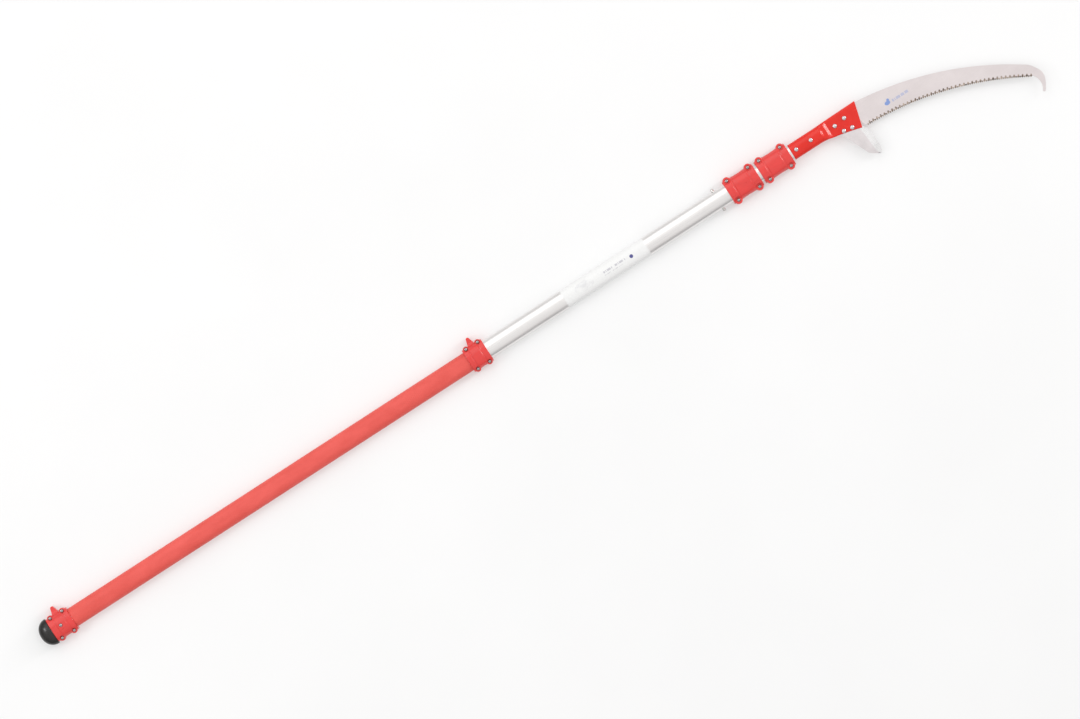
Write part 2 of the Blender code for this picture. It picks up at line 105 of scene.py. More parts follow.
def superellipse(half_y, half_z, count=96, power=2.3, middle=0.0):
    a = 2 * np.pi * (np.arange(count) + 0.5) / count
    c, s = np.cos(a), np.sin(a)
    y = middle + half_y * np.sign(c) * np.abs(c) ** (2 / power)
    return np.stack([y, half_z * np.sign(s) * np.abs(s) ** (2 / power)], 1)


def rings_at(sections):
    """Rows of points from (station, YZ section) pairs."""
    rows = []
    for station, ring in sections:
        rows.append(np.column_stack([np.full(len(ring), station), ring]))
    return np.concatenate(rows)


def dressed(made, material, body, slot, *nodes):
    """Gives a finished piece its material and its moving body, and hides the CAD nodes that it stands for."""
    made.data.materials.clear()
    made.data.materials.append(material)
    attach(made, body)
    if nodes:
        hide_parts(*nodes)
    return made


def baked(made):
    """Turns a piece and its modifiers into a plain mesh."""
    bpy.context.view_layer.update()
    graph = bpy.context.evaluated_depsgraph_get()
    mesh = bpy.data.meshes.new_from_object(made.evaluated_get(graph))
    made.modifiers.clear()
    made.data = mesh
    return made


def cut(made, tool):
    """Cuts tool out of a piece and drops it."""
    step = made.modifiers.new("cut", "BOOLEAN")
    step.operation = "DIFFERENCE"
    step.solver = "EXACT"
    step.object = tool
    baked(made)
    bpy.data.objects.remove(tool, do_unlink=True)
    made.data.shade_smooth()
    made.data.set_sharp_from_angle(angle=math.radians(34))
    return made


def turned(name, profile, count=32, sharp=34):
    """Round closed piece about +Z from (radius, height) pairs, with both ends capped."""
    a = 2 * np.pi * np.arange(count) / count
    points = np.concatenate([np.column_stack([r * np.cos(a), r * np.sin(a), np.full(count, h)])
                             for r, h in profile])
    faces = ring_faces(len(profile), count)
    faces.append(tuple(range(count - 1, -1, -1)))
    faces.append(tuple(range((len(profile) - 1) * count, len(profile) * count)))
    return mesh_object(name, points, faces, sharp)


def merged(name, parts):
    """One mesh object from several, which are dropped."""
    points, faces, start = [], [], 0
    for part in parts:
        points += [tuple(part.matrix_world @ v.co) for v in part.data.vertices]
        faces += [tuple(start + k for k in face.vertices) for face in part.data.polygons]
        start = len(points)
        bpy.data.objects.remove(part, do_unlink=True)
    return mesh_object(name, points, faces)


# ---- Materials ----

class Finish:
    """A procedural finish built on a Principled shader, in the saw's own coordinates."""

    def __init__(self, name, **constants):
        self.material = bpy.data.materials.new(name)
        self.material.use_nodes = True
        self.tree = self.material.node_tree
        self.shader = self.tree.nodes["Principled BSDF"]
        for key, value in constants.items():
            self.shader.inputs[key.replace("_", " ")].default_value = value
        self.space = self.tree.nodes.new("ShaderNodeTexCoord").outputs["Object"]

    def add(self, kind, values=(), **settings):
        """New node with its settings, and its inputs set to values or linked to sockets."""
        made = self.tree.nodes.new("ShaderNode" + kind)
        for key, value in settings.items():
            setattr(made, key, value)
        for key, value in dict(values).items():
            if isinstance(value, bpy.types.NodeSocket):
                self.tree.links.new(value, made.inputs[key])
            else:
                made.inputs[key].default_value = value
        return made

    def stretched(self, x, y, z):
        """Coordinates scaled per metre along each axis."""
        return self.add("Mapping", {0: self.space, "Scale": (x, y, z)}).outputs[0]

    def noise(self, space, detail=4.0, roughness=0.6):
        values = {"Vector": space, "Scale": 1.0, "Detail": detail, "Roughness": roughness}
        return self.add("TexNoise", values).outputs["Fac"]

    def spread(self, fac, low, high, start=0.3, end=0.7):
        """fac between start and end, spread over low to high."""
        values = {0: fac, 1: start, 2: end, 3: low, 4: high}
        return self.add("MapRange", values).outputs[0]

    def mix(self, fac, one, other):
        """Colour between one and other."""
        node = self.add("Mix", data_type="RGBA")
        for socket, value in ((node.inputs["Factor"], fac), (node.inputs[6], one), (node.inputs[7], other)):
            if isinstance(value, bpy.types.NodeSocket):
                self.tree.links.new(value, socket)
            elif socket.type == "RGBA":
                socket.default_value = (*value, 1.0)
            else:
                socket.default_value = value
        return node.outputs[2]

    def maths(self, operation, one, other=0.0, clamp=False):
        return self.add("Math", {0: one, 1: other}, operation=operation, use_clamp=clamp).outputs[0]

    def use(self, socket, value):
        self.tree.links.new(value, self.shader.inputs[socket])

    def bump(self, height, strength, distance):
        node = self.add("Bump", {"Height": height, "Strength": strength, "Distance": distance})
        self.use("Normal", node.outputs[0])


def drawn_aluminium(name, tone):
    """Drawn and brightened aluminium tube, with fine lines along it and faint cloudy patches."""
    f = Finish(name, Metallic=1.0)
    lines = f.noise(f.stretched(3.0, 2200.0, 2200.0), 3.0)
    cloud = f.noise(f.stretched(9.0, 30.0, 30.0), 3.0)
    blend = f.maths("ADD", f.maths("MULTIPLY", lines, 0.6), f.maths("MULTIPLY", cloud, 0.4))
    dark = tuple(0.90 * c for c in tone)
    f.use("Base Color", f.mix(f.spread(blend, 0.0, 1.0), dark, tone))
    f.use("Roughness", f.spread(lines, 0.26, 0.40))
    f.bump(lines, 0.12, 0.00006)
    return f.material


def moulded_plastic(name, colour, rough=0.3):
    """Glossy moulded plastic, with a fine orange-peel skin and slight flow streaks."""
    f = Finish(name, Coat_Weight=0.25, Coat_Roughness=0.12)
    flow = f.noise(f.stretched(26.0, 60.0, 60.0), 5.0)
    peel = f.noise(f.stretched(900.0, 900.0, 900.0), 2.0)
    deep = tuple(0.86 * c for c in colour)
    f.use("Base Color", f.mix(f.spread(flow, 0.0, 1.0), deep, colour))
    f.use("Roughness", f.spread(flow, rough - 0.05, rough + 0.07))
    f.bump(peel, 0.10, 0.0001)
    return f.material


def soft_grip():
    """Soft red sleeve, slightly dusty on its high spots."""
    f = Finish("soft_grip_red", Sheen_Weight=0.06, Sheen_Roughness=0.5)
    cloud = f.noise(f.stretched(14.0, 40.0, 40.0), 6.0)
    grain = f.noise(f.stretched(1500.0, 1500.0, 1500.0), 3.0)
    f.use("Base Color", f.mix(f.spread(cloud, 0.0, 1.0), (0.70, 0.072, 0.055), (0.79, 0.100, 0.082)))
    f.use("Roughness", f.spread(grain, 0.42, 0.58))
    f.bump(grain, 0.25, 0.00012)
    return f.material


def black_rubber():
    f = Finish("black_rubber", Specular_IOR_Level=0.5)
    cloud = f.noise(f.stretched(60.0, 60.0, 60.0), 5.0)
    grain = f.noise(f.stretched(1200.0, 1200.0, 1200.0), 3.0)
    f.use("Base Color", f.mix(f.spread(cloud, 0.0, 1.0), (0.004, 0.0035, 0.003), (0.012, 0.010, 0.010)))
    f.use("Roughness", f.spread(cloud, 0.20, 0.32))
    f.bump(grain, 0.2, 0.0001)
    return f.material


def grey_nylon():
    f = Finish("grey_nylon")
    cloud = f.noise(f.stretched(80.0, 80.0, 80.0), 4.0)
    grain = f.noise(f.stretched(1500.0, 1500.0, 1500.0), 2.0)
    f.use("Base Color", f.mix(f.spread(cloud, 0.0, 1.0), (0.19, 0.19, 0.20), (0.27, 0.27, 0.28)))
    f.use("Roughness", f.spread(grain, 0.40, 0.55))
    f.bump(grain, 0.15, 0.0001)
    return f.material


def plated_steel(name, tone, along=(400.0, 400.0, 400.0), rough=(0.18, 0.34)):
    """Plated or polished steel, with marks that run as the scales say."""
    f = Finish(name, Metallic=1.0)
    marks = f.noise(f.stretched(*along), 4.0)
    cloud = f.noise(f.stretched(35.0, 35.0, 35.0), 3.0)
    f.use("Base Color", f.mix(f.spread(cloud, 0.0, 1.0), tuple(0.84 * c for c in tone), tone))
    f.use("Roughness", f.spread(marks, *rough))
    f.bump(marks, 0.15, 0.00005)
    return f.material


def inside(f, space, low, high):
    """1 where both of the first two coordinates are between low and high."""
    axes = f.add("SeparateXYZ", {0: space}).outputs
    result = None
    for k in range(2):
        above = f.maths("GREATER_THAN", axes[k], low[k])
        below = f.maths("LESS_THAN", axes[k], high[k])
        both = f.maths("MULTIPLY", above, below)
        result = both if result is None else f.maths("MULTIPLY", result, both)
    return result


def moved(f, station, y, scale=1000.0):
    """Coordinates in millimetres from a station and a height across the pole."""
    offset = (-(station - ORIGIN_STATION) * MM * scale, -y * MM * scale, 0.0)
    values = {0: f.space, "Scale": (scale, scale, scale), "Location": offset}
    return f.add("Mapping", values).outputs[0]


def dot(f, space, radius, squeeze=1.0):
    """1 inside a soft-edged spot about the origin of space."""
    flat = f.add("Mapping", {0: space, "Scale": (1.0, squeeze, 0.0)}).outputs[0]
    reach = f.add("VectorMath", {0: flat}, operation="LENGTH").outputs["Value"]
    return f.spread(reach, 1.0, 0.0, radius - 0.3, radius + 0.3)


def broken_bars(f, space, length, half, pitch, gap=0.42):
    """A row of short uneven bars, as unreadable print."""
    row = inside(f, space, (0.0, -half), (length, half))
    cells = f.add("Mapping", {0: space, "Scale": (1.0 / pitch, 0.0, 0.0)}).outputs[0]
    ink = f.add("TexWhiteNoise", {0: f.add("VectorMath", {0: cells}, operation="FLOOR").outputs[0]},
                noise_dimensions="3D").outputs["Value"]
    return f.maths("MULTIPLY", row, f.maths("GREATER_THAN", ink, gap))


def printed_film():
    """White film label with a pale picture block, a row of unreadable bars and a dark blue dot."""
    f = Finish("printed_film", Coat_Weight=0.4, Coat_Roughness=0.15)
    fibre = f.noise(f.stretched(300.0, 300.0, 300.0), 4.0)
    paper = f.mix(f.spread(fibre, 0.0, 1.0), (0.78, 0.78, 0.775), (0.84, 0.84, 0.835))
    picture = dot(f, moved(f, 1603.0, 2.0), 27.0, 2.0)
    shapes = f.noise(f.stretched(60.0, 90.0, 1.0), 6.0)
    picture = f.maths("MULTIPLY", picture, f.spread(shapes, 0.0, 0.17, 0.42, 0.62))
    words = f.maths("MULTIPLY", broken_bars(f, moved(f, 1660.0, 3.0), 67.0, 2.6, 2.1), 0.46)
    more = f.maths("MULTIPLY", broken_bars(f, moved(f, 1660.0, -5.0), 52.0, 1.3, 1.4), 0.28)
    ink = f.maths("MAXIMUM", f.maths("MAXIMUM", picture, words), more)
    colour = f.mix(ink, paper, (0.26, 0.24, 0.32))
    colour = f.mix(dot(f, moved(f, 1740.0, 0.0), 4.8), colour, (0.07, 0.07, 0.25))
    f.use("Base Color", colour)
    f.use("Roughness", f.spread(fibre, 0.30, 0.42))
    f.bump(fibre, 0.08, 0.00005)
    return f.material


def blade_steel():
    """Ground and plated saw steel with a small plain blue mark."""
    f = Finish("blade_steel", Metallic=1.0)
    marks = f.noise(f.stretched(60.0, 1500.0, 60.0), 4.0)
    cloud = f.noise(f.stretched(14.0, 14.0, 14.0), 4.0)
    steel = f.mix(f.spread(cloud, 0.0, 1.0), (0.72, 0.655, 0.655), (0.82, 0.755, 0.755))
    steel = f.mix(f.spread(marks, 0.0, 0.22), steel, (0.58, 0.53, 0.53))
    badge = f.maths("MAXIMUM", dot(f, moved(f, HEAD + 253.0, -26.0), 7.6, 1.5),
                    dot(f, moved(f, HEAD + 257.5, -20.0), 3.6))
    words = f.maths("MULTIPLY", broken_bars(f, moved(f, HEAD + 266.0, -27.5), 46.0, 3.4, 2.3, 0.34), 0.36)
    ink = f.maths("MAXIMUM", f.maths("MULTIPLY", badge, 0.8), words)
    f.use("Base Color", f.mix(ink, steel, (0.10, 0.24, 0.62)))
    f.use("Metallic", f.maths("SUBTRACT", 1.0, f.maths("MULTIPLY", ink, 0.8)))
    f.use("Roughness", f.spread(marks, 0.30, 0.44))
    f.bump(marks, 0.10, 0.00004)
    return f.material


def studio_floor():
    f = Finish("studio_floor", Roughness=0.9, Specular_IOR_Level=0.1, Emission_Strength=0.36,
               Emission_Color=(1.0, 1.0, 1.0, 1.0))
    cloud = f.noise(f.stretched(1.5, 1.5, 1.5), 3.0)
    f.use("Base Color", f.mix(f.spread(cloud, 0.0, 1.0), (0.54, 0.54, 0.54), (0.56, 0.56, 0.56)))
    return f.material


# ---- Copies on spots and along edges, with Geometry Nodes ----

def node_group(name, inputs):
    """Empty Geometry Nodes group with named inputs. Returns it, its input node and its output node."""
    group = bpy.data.node_groups.new(name, "GeometryNodeTree")
    group.interface.new_socket("Geometry", in_out="INPUT", socket_type="NodeSocketGeometry")
    for label, kind in inputs:
        group.interface.new_socket(label, in_out="INPUT", socket_type="NodeSocket" + kind)
    group.interface.new_socket("Geometry", in_out="OUTPUT", socket_type="NodeSocketGeometry")
    return group, group.nodes.new("NodeGroupInput"), group.nodes.new("NodeGroupOutput")


def gn(group, kind, links=(), **settings):
    """Geometry or function node with its inputs linked to sockets or set to values."""
    made = group.nodes.new(kind)
    for key, value in settings.items():
        setattr(made, key, value)
    for key, value in dict(links).items():
        if isinstance(value, bpy.types.NodeSocket):
            group.links.new(value, made.inputs[key])
        else:
            made.inputs[key].default_value = value
    return made


def run_group(made, group, **values):
    """Runs a group on a piece with its named inputs set, and keeps the result as a plain mesh."""
    step = made.modifiers.new(group.name, "NODES")
    step.node_group = group
    named = {item.name.replace(" ", "_"): item.identifier for item in group.interface.items_tree
             if item.in_out == "INPUT"}
    for key, value in values.items():
        step[named[key]] = value
    return baked(made)


def copies_group():
    """Copies of a shape at every point, facing along and turned by what each point stores."""
    group, start, end = node_group("copies_on_spots", (("Shape", "Object"), ("Material", "Material")))
    shape = gn(group, "GeometryNodeObjectInfo", {"Object": start.outputs["Shape"]})
    facing = gn(group, "GeometryNodeInputNamedAttribute", {"Name": "facing"}, data_type="FLOAT_VECTOR")
    turn = gn(group, "GeometryNodeInputNamedAttribute", {"Name": "turn"}, data_type="FLOAT_VECTOR")
    aim = gn(group, "FunctionNodeAlignRotationToVector", {"Vector": facing.outputs["Attribute"]}, axis="Z")
    spin = gn(group, "FunctionNodeEulerToRotation", {0: turn.outputs["Attribute"]})
    both = gn(group, "FunctionNodeRotateRotation", {0: aim.outputs[0], 1: spin.outputs[0]},
              rotation_space="LOCAL")
    many = gn(group, "GeometryNodeInstanceOnPoints", {"Points": start.outputs["Geometry"],
                                                      "Instance": shape.outputs["Geometry"],
                                                      "Rotation": both.outputs[0]})
    real = gn(group, "GeometryNodeRealizeInstances", {"Geometry": many.outputs["Instances"]})
    last = gn(group, "GeometryNodeSetMaterial",
              {"Geometry": real.outputs[0], "Material": start.outputs["Material"]})
    group.links.new(last.outputs[0], end.inputs[0])
    return group


def copies(name, shape, spots, material, facing=(0.0, 0.0, 1.0), turns=None):
    """Copies of shape on spots in millimetres. facing is one direction or one for each spot."""
    made = mesh_object(name, place(spots), [])
    count = len(spots)
    aims = np.broadcast_to(np.asarray(facing, float), (count, 3))
    angles = np.zeros((count, 3))
    if turns is not None:
        angles[:, 2] = turns
    for label, data in (("facing", aims), ("turn", angles)):
        store = made.data.attributes.new(label, "FLOAT_VECTOR", "POINT")
        store.data.foreach_set("vector", np.ascontiguousarray(data, dtype=np.float32).ravel())
    run_group(made, COPIES, Shape=shape, Material=material)
    made.data.shade_smooth()
    made.data.set_sharp_from_angle(angle=math.radians(34))
    return made


def teeth_group():
    """Two tooth shapes in turn along a line of edges, each lying along the line."""
    group, start, end = node_group("teeth_along_edge", (
        ("Upper Tooth", "Object"), ("Lower Tooth", "Object"), ("Pitch", "Float"), ("Material", "Material")))
    line = gn(group, "GeometryNodeMeshToCurve", {0: start.outputs["Geometry"]})
    even = gn(group, "GeometryNodeResampleCurve",
              {"Curve": line.outputs[0], "Length": start.outputs["Pitch"]}, mode="LENGTH")
    along = gn(group, "GeometryNodeInputTangent")
    aim = gn(group, "FunctionNodeAlignRotationToVector", {"Vector": along.outputs[0]},
             axis="X", pivot_axis="Z")
    index = gn(group, "GeometryNodeInputIndex")
    odd = gn(group, "ShaderNodeMath", {0: index.outputs[0], 1: 2.0}, operation="MODULO")
    even_one = gn(group, "ShaderNodeMath", {0: 1.0, 1: odd.outputs[0]}, operation="SUBTRACT")
    join = gn(group, "GeometryNodeJoinGeometry")
    for label, choice in (("Upper Tooth", odd), ("Lower Tooth", even_one)):
        shape = gn(group, "GeometryNodeObjectInfo", {"Object": start.outputs[label]})
        many = gn(group, "GeometryNodeInstanceOnPoints", {
            "Points": even.outputs[0], "Selection": choice.outputs[0],
            "Instance": shape.outputs["Geometry"], "Rotation": aim.outputs[0]})
        group.links.new(many.outputs[0], join.inputs[0])
    real = gn(group, "GeometryNodeRealizeInstances", {"Geometry": join.outputs[0]})
    last = gn(group, "GeometryNodeSetMaterial",
              {"Geometry": real.outputs[0], "Material": start.outputs["Material"]})
    group.links.new(last.outputs[0], end.inputs[0])
    return group


# ---- Poles, grip, label and cap ----

def oval_tube(name, start, end, outer, inner, edge=0.35):
    """Oval tube with its ends eased."""
    order = ((start, outer, -edge), (start + edge, outer, 0.0),
             (end - edge, outer, 0.0), (end, outer, -edge),
             (end, inner, edge / 2), (end - edge, inner, 0.0),
             (start + edge, inner, 0.0), (start, inner, edge / 2))
    sections = [(x, superellipse(half[0] + ease, half[1] + ease)) for x, half, ease in order]
    return mesh_object(name, place(rings_at(sections)), ring_faces(len(order), 96, wrap=True))


def side_drill(station, radius, reach=40.0):
    """Cutter straight through a pole from edge to edge."""
    made = turned("drill", [(radius * MM, -reach * MM), (radius * MM, reach * MM)], 40)
    made.data.transform(Matrix.Translation(place((station, 0.0, 0.0))) @ Matrix.Rotation(math.pi / 2, 4, "X"))
    return made


def pole(node, start, end, size, holes, body, tone):
    """Oval pole with a pair of lock holes at each given station."""
    made = oval_tube(node + "_tube", start, end, size, (size[0] - WALL, size[1] - WALL))
    for hole in holes:
        cut(made, side_drill(hole, 5.3))
    return dressed(made, drawn_aluminium(node + "_aluminium", tone), body, node, node)


def grip():
    """Soft sleeve with rolled ends, and raised pips in staggered rows all round it."""
    start, end, skin = 92.1, 1260.2, 1.1
    inner = (BASE[0] + 0.3, BASE[1] + 0.3)
    outer = (inner[0] + skin - 0.25, inner[1] + skin - 0.25)
    made = oval_tube("grip_skin", start, end, outer, inner, 0.5)
    spots, aims = [], []
    rows = np.arange(start + 9.0, end - 7.0, 4.6)
    for number, x in enumerate(rows):
        ring = superellipse(*outer, count=720)
        steps = np.linalg.norm(np.roll(ring, -1, 0) - ring, axis=1)
        along = np.concatenate([[0.0], np.cumsum(steps)])
        count = 26
        wanted = (np.arange(count) + 0.5 * (number % 2)) / count * along[-1]
        closed = np.concatenate([ring, ring[:1]])
        y, z = np.interp(wanted, along, closed[:, 0]), np.interp(wanted, along, closed[:, 1])
        ny = np.sign(y) * np.abs(y / outer[0]) ** 1.3 / outer[0]
        nz = np.sign(z) * np.abs(z / outer[1]) ** 1.3 / outer[1]
        spots.append(np.column_stack([np.full(count, x), y, z]))
        aims.append(np.column_stack([np.zeros(count), ny, nz]))
    aims = np.concatenate(aims)
    pip = turned("pip", [(r * MM, h * MM) for r, h in ((1.75, -0.15), (1.45, 0.10), (0.8, 0.26))], 8, 80)
    material = soft_grip()
    pips = copies("grip_pips", pip, np.concatenate(spots), material,
                  aims / np.linalg.norm(aims, axis=1, keepdims=True))
    bpy.data.objects.remove(pip, do_unlink=True)
    pips.data.set_sharp_from_angle(angle=math.radians(80))
    dressed(made, material, "base_section", "grip_red", "grip_sleeve")
    return dressed(pips, material, "base_section", "grip_red")


def label():
    inner = (BASE[0] + 0.12, BASE[1] + 0.12)
    made = oval_tube("label_film", 1543.0, 1785.0, (inner[0] + 0.3, inner[1] + 0.3), inner, 0.1)
    return dressed(made, printed_film(), "base_section", "label_white", "label_sleeve")


def butt_cap():
    """Rubber dome with a stepped rim where it meets the clamp."""
    half_y, half_z, start, length = 35.0, 21.4, 0.4, 33.0
    sections = [(start, superellipse(0.6, 0.4))]
    for k in range(1, 29):
        a = math.radians(90 * k / 28)
        reach = math.sin(a) ** 0.92
        depth = start + length * (1 - math.cos(a)) * 0.92
        sections.append((depth, superellipse(half_y * reach, half_z * reach)))
    sections += [(length - 1.6, superellipse(half_y, half_z)),
                 (length - 0.9, superellipse(half_y - 0.2, half_z - 0.2)),
                 (length - 0.2, superellipse(half_y - 0.9, half_z - 0.9)),
                 (length, superellipse(half_y - 1.8, half_z - 1.8)),
                 (length, superellipse(BASE[0] - WALL - 0.3, BASE[1] - WALL - 0.3)),
                 (length + 40, superellipse(BASE[0] - WALL - 0.3, BASE[1] - WALL - 0.3))]
    count = len(sections)
    faces = ring_faces(count, 96) + [tuple(range(95, -1, -1)), tuple(range((count - 1) * 96, count * 96))]
    made = mesh_object("butt_cap", place(rings_at(sections)), faces)
    return dressed(made, black_rubber(), "base_section", "cap_black", "end_cap")


# ---- Clamps ----

def clamp_edge(c, x, up):
    """Half width of a clamp's plan outline at x from its middle. up is 1 on the ear's side."""
    waist = c["waist"] - 0.9 * (1 - smooth(0.0, c["lug"][0], np.abs(x)))
    away = np.abs(x) - c["lug"][0]
    lug = c["lug"][1] + np.sqrt(np.maximum(c["radius"] ** 2 - away ** 2, 0.0))
    lug = np.where(np.abs(away) < c["radius"], lug, 0.0)
    edge = soft_max(waist, lug, 1.0)
    if c.get("ear") and up > 0:
        tip = 47.2 + np.sqrt(np.maximum(4.6 ** 2 - x ** 2, 0.0))
        flank = 47.4 + (np.abs(x) - 4.5) * -3.2
        edge = soft_max(edge, np.where(np.abs(x) < 4.4, tip, flank), 1.2)
    return edge - fillet(c["half"] - np.abs(x), 1.1)


def clamp_height(c, x, y, crowned):
    """Height of a clamp's outside over the split, away from its rounded edges.

    The front half is crowned between two cross lines. The back half has a flat pad to rest on."""
    side, across = np.abs(x), np.abs(y)
    flange = smooth(c["half"] - c["band"] - 1.6, c["half"] - c["band"] + 0.4, side)
    high = c["high"] - 1.6 + 0.9 * flange
    wide = c["waist"] - 1.0 + 0.6 * flange
    round_over = 27.0 if crowned else 19.0
    corner = np.clip((across - (wide - round_over)) / round_over, 0.0, 1.0)
    barrel = high - 17.0 + 17.0 * (1 - corner ** 2.2) ** (1 / 2.2)
    rim = np.full_like(y, 3.0)
    near = np.hypot(side - c["lug"][0], across - c["lug"][1])
    rim = rim + (LUG_HEIGHT - 3.0) * smooth(c["radius"] + 1.6, c["radius"] - 0.6, near)
    if c.get("ear"):
        rim = np.where((side < 9.6) & (y > 0), 9.0 - 3.0 * smooth(c["waist"] - 3.0, c["waist"] + 6.0, y), rim)
    surface = soft_max(barrel, rim, 0.9)
    face = smooth(c["radius"] - 0.4, c["radius"] - 2.4, near)
    surface = np.minimum(surface, LUG_HEIGHT + 12.0 * (1 - face))
    if crowned:
        panel = (smooth(c["pad"][0] + 0.7, c["pad"][0] - 0.7, side)
                 * smooth(c["waist"] - 3, c["waist"] - 9, across))
        return np.minimum(surface + 1.1 * panel, c["high"])
    panel = np.maximum(side - c["pad"][0], across - c["pad"][1])
    corner = np.hypot(np.maximum(side - c["pad"][0] + 4, 0), np.maximum(across - c["pad"][1] + 4, 0)) - 4
    raised = c["high"] - 2.6 * smooth(-0.2, 1.6, np.maximum(panel, corner))
    return np.minimum(np.maximum(surface, raised), c["high"])


def clamp_half(name, c, span, bore, side, material, body, node, lip=None):
    """One moulded half of a clamp: its outside, its oval bore and the seats for its screws."""
    middle = (span[0] + span[1]) / 2
    half = c["half"] = (span[1] - span[0]) / 2
    ends = np.array([0.0, 0.04, 0.16, 0.36, 0.66, 1.1])
    xs = np.concatenate([-half + ends, np.arange(-half + 1.8, half - 1.2, 0.8), half - ends[::-1]])
    t = np.sin(np.linspace(-1, 1, 89) * np.pi / 2)
    rows = []
    for x in xs:
        low, high = clamp_edge(c, x, -1), clamp_edge(c, x, 1)
        y = (low + high) / 2 * t + (high - low) / 2
        z = clamp_height(c, np.full_like(y, x), y, side > 0)
        depth = np.where(y > 0, high - y, low + y)
        z = z - fillet(depth, 1.1) - fillet(half - abs(x), 1.1)
        outer = np.concatenate([[[y[0], 0.15]], np.column_stack([y, z]), [[y[-1], 0.15]]])
        size = lip if lip is not None and x > half - 1.6 else bore
        a = np.linspace(np.pi, 0, len(outer))
        power = 2 / 2.3
        arch = np.column_stack([(size[0] + 0.3) * np.sign(np.cos(a)) * np.abs(np.cos(a)) ** power,
                                np.maximum((size[1] + 0.3) * np.abs(np.sin(a)) ** power, 0.15)])
        ring = np.concatenate([outer, arch[::-1]])
        rows.append(np.column_stack([np.full(len(ring), middle + x), ring[:, 0], ring[:, 1] * side]))
    count, last = len(rows[0]), (len(rows) - 1) * len(rows[0])
    faces = ring_faces(len(rows), count)
    for k in range(count // 2 - 1):
        faces.append((k, count - 1 - k, count - 2 - k, k + 1))
        faces.append((last + k, last + k + 1, last + count - 2 - k, last + count - 1 - k))
    if side > 0:
        faces = [face[::-1] for face in faces]
    made = mesh_object(name, place(np.concatenate(rows)), faces)
    if side > 0:
        wells = [(middle + sx * c["lug"][0], sy * c["lug"][1], LUG_HEIGHT - 3.0)
                 for sx in (-1, 1) for sy in (-1, 1)]
        if c.get("centre"):
            wells.append((middle - 3.0, 0.0, c["high"] - 2.6))
        drills = [turned("well", [(4.6 * MM, 0.0), (4.6 * MM, 2.2 * MM), (5.4 * MM, 3.4 * MM),
                                  (5.4 * MM, 15 * MM)], 40)
                  for spot in wells]
        for drill, spot in zip(drills, wells):
            drill.data.transform(Matrix.Translation(place(spot)))
        cut(made, merged("wells", drills))
    return dressed(made, material, body, "clamp_red", node)


def clamp(node, c, span, bore, body, lip=None):
    for word, side in (("front", 1), ("back", -1)):
        clamp_half(f"{node}_{word}_shell", dict(c), span, bore, side, CLAMP_RED, body, f"{node}_{word}", lip)


def screw_spots(c, span):
    middle = (span[0] + span[1]) / 2
    return [(middle + sx * c["lug"][0], sy * c["lug"][1], LUG_HEIGHT - 2.7)
            for sx in (-1, 1) for sy in (-1, 1)]


def cross_screw():
    """Pan head screw with a cross recess. Its seat is at z = 0 and its shank hangs below."""
    profile = [(1.5, -17.8), (2.0, -17.0), (2.0, 0.0), (4.1, 0.0), (4.3, 0.3), (4.28, 0.9), (4.0, 1.5),
               (3.3, 2.0), (2.2, 2.3), (0.9, 2.4)]
    made = turned("screw", [(r * MM, h * MM) for r, h in profile], 32)
    bars = []
    for turn in (0, 90):
        bar = mesh_object("bar", *wedge((2.7, 0.62, 1.0), (1.5, 0.42, 2.8)))
        bar.data.transform(Matrix.Rotation(math.radians(turn), 4, "Z"))
        bars.append(bar)
    for bar in bars:
        cut(made, bar)
    return made


def wedge(top, bottom):
    """Points and faces of a tapered bar: half length, half width and depth from the head's top."""
    (lx, ly, depth), (bx, by, _) = top, bottom
    high, low = 3.0 * MM, (2.4 - depth) * MM
    points = [(sx * lx * MM, sy * ly * MM, high) for sx, sy in ((-1, -1), (1, -1), (1, 1), (-1, 1))]
    points += [(sx * bx * MM, sy * by * MM, low - 0.4 * MM)
               for sx, sy in ((-1, -1), (1, -1), (1, 1), (-1, 1))]
    faces = [(0, 1, 2, 3), (7, 6, 5, 4), (0, 4, 5, 1), (1, 5, 6, 2), (2, 6, 7, 3), (3, 7, 4, 0)]
    return points, faces


def fasteners(name, shape, spots, material, body, nodes, seed, facing=(0.0, 0.0, 1.0)):
    turns = np.random.default_rng(seed).uniform(0, math.pi, len(spots))
    made = copies(name, shape, spots, material, facing, turns)
    return dressed(made, material, body, "screw_steel", *nodes)


# ---- Lock buttons ----

def release_button(word, side, material):
    """Leaf spring with its domed button, out through the lock holes."""
    root, tip = TOP[0] - WALL - 2.3, 32.0
    profile = [(3.8, 0.2), (3.8, tip - root - 2.6)]
    profile += [(3.8 * math.cos(a), tip - root - 2.6 + 2.6 * math.sin(a))
                for a in np.radians([18, 36, 54, 70, 84])]
    knob = turned("knob", [(r * MM, h * MM) for r, h in profile], 40)
    aim = Matrix.Rotation(-side * math.pi / 2, 4, "X")
    knob.data.transform(Matrix.Translation(place((LOCKS, side * root, 0.0))) @ aim)
    leaf = []
    for y in (0.0, 0.8):
        for x, z in ((-5, -3), (-4, -4), (102, -4), (103, -3), (103, 3), (102, 4), (-4, 4), (-5, 3)):
            leaf.append((LOCKS + x, side * (root + y), z))
    faces = ring_faces(2, 8) + [tuple(range(7, -1, -1)), tuple(range(8, 16))]
    blade = mesh_object("leaf", place(leaf), faces)
    made = merged(f"release_button_{word}_spring", [knob, blade])
    node = f"release_button_{word}"
    return dressed(made, material, node, "spring_steel", node)


# ---- Head and blades ----

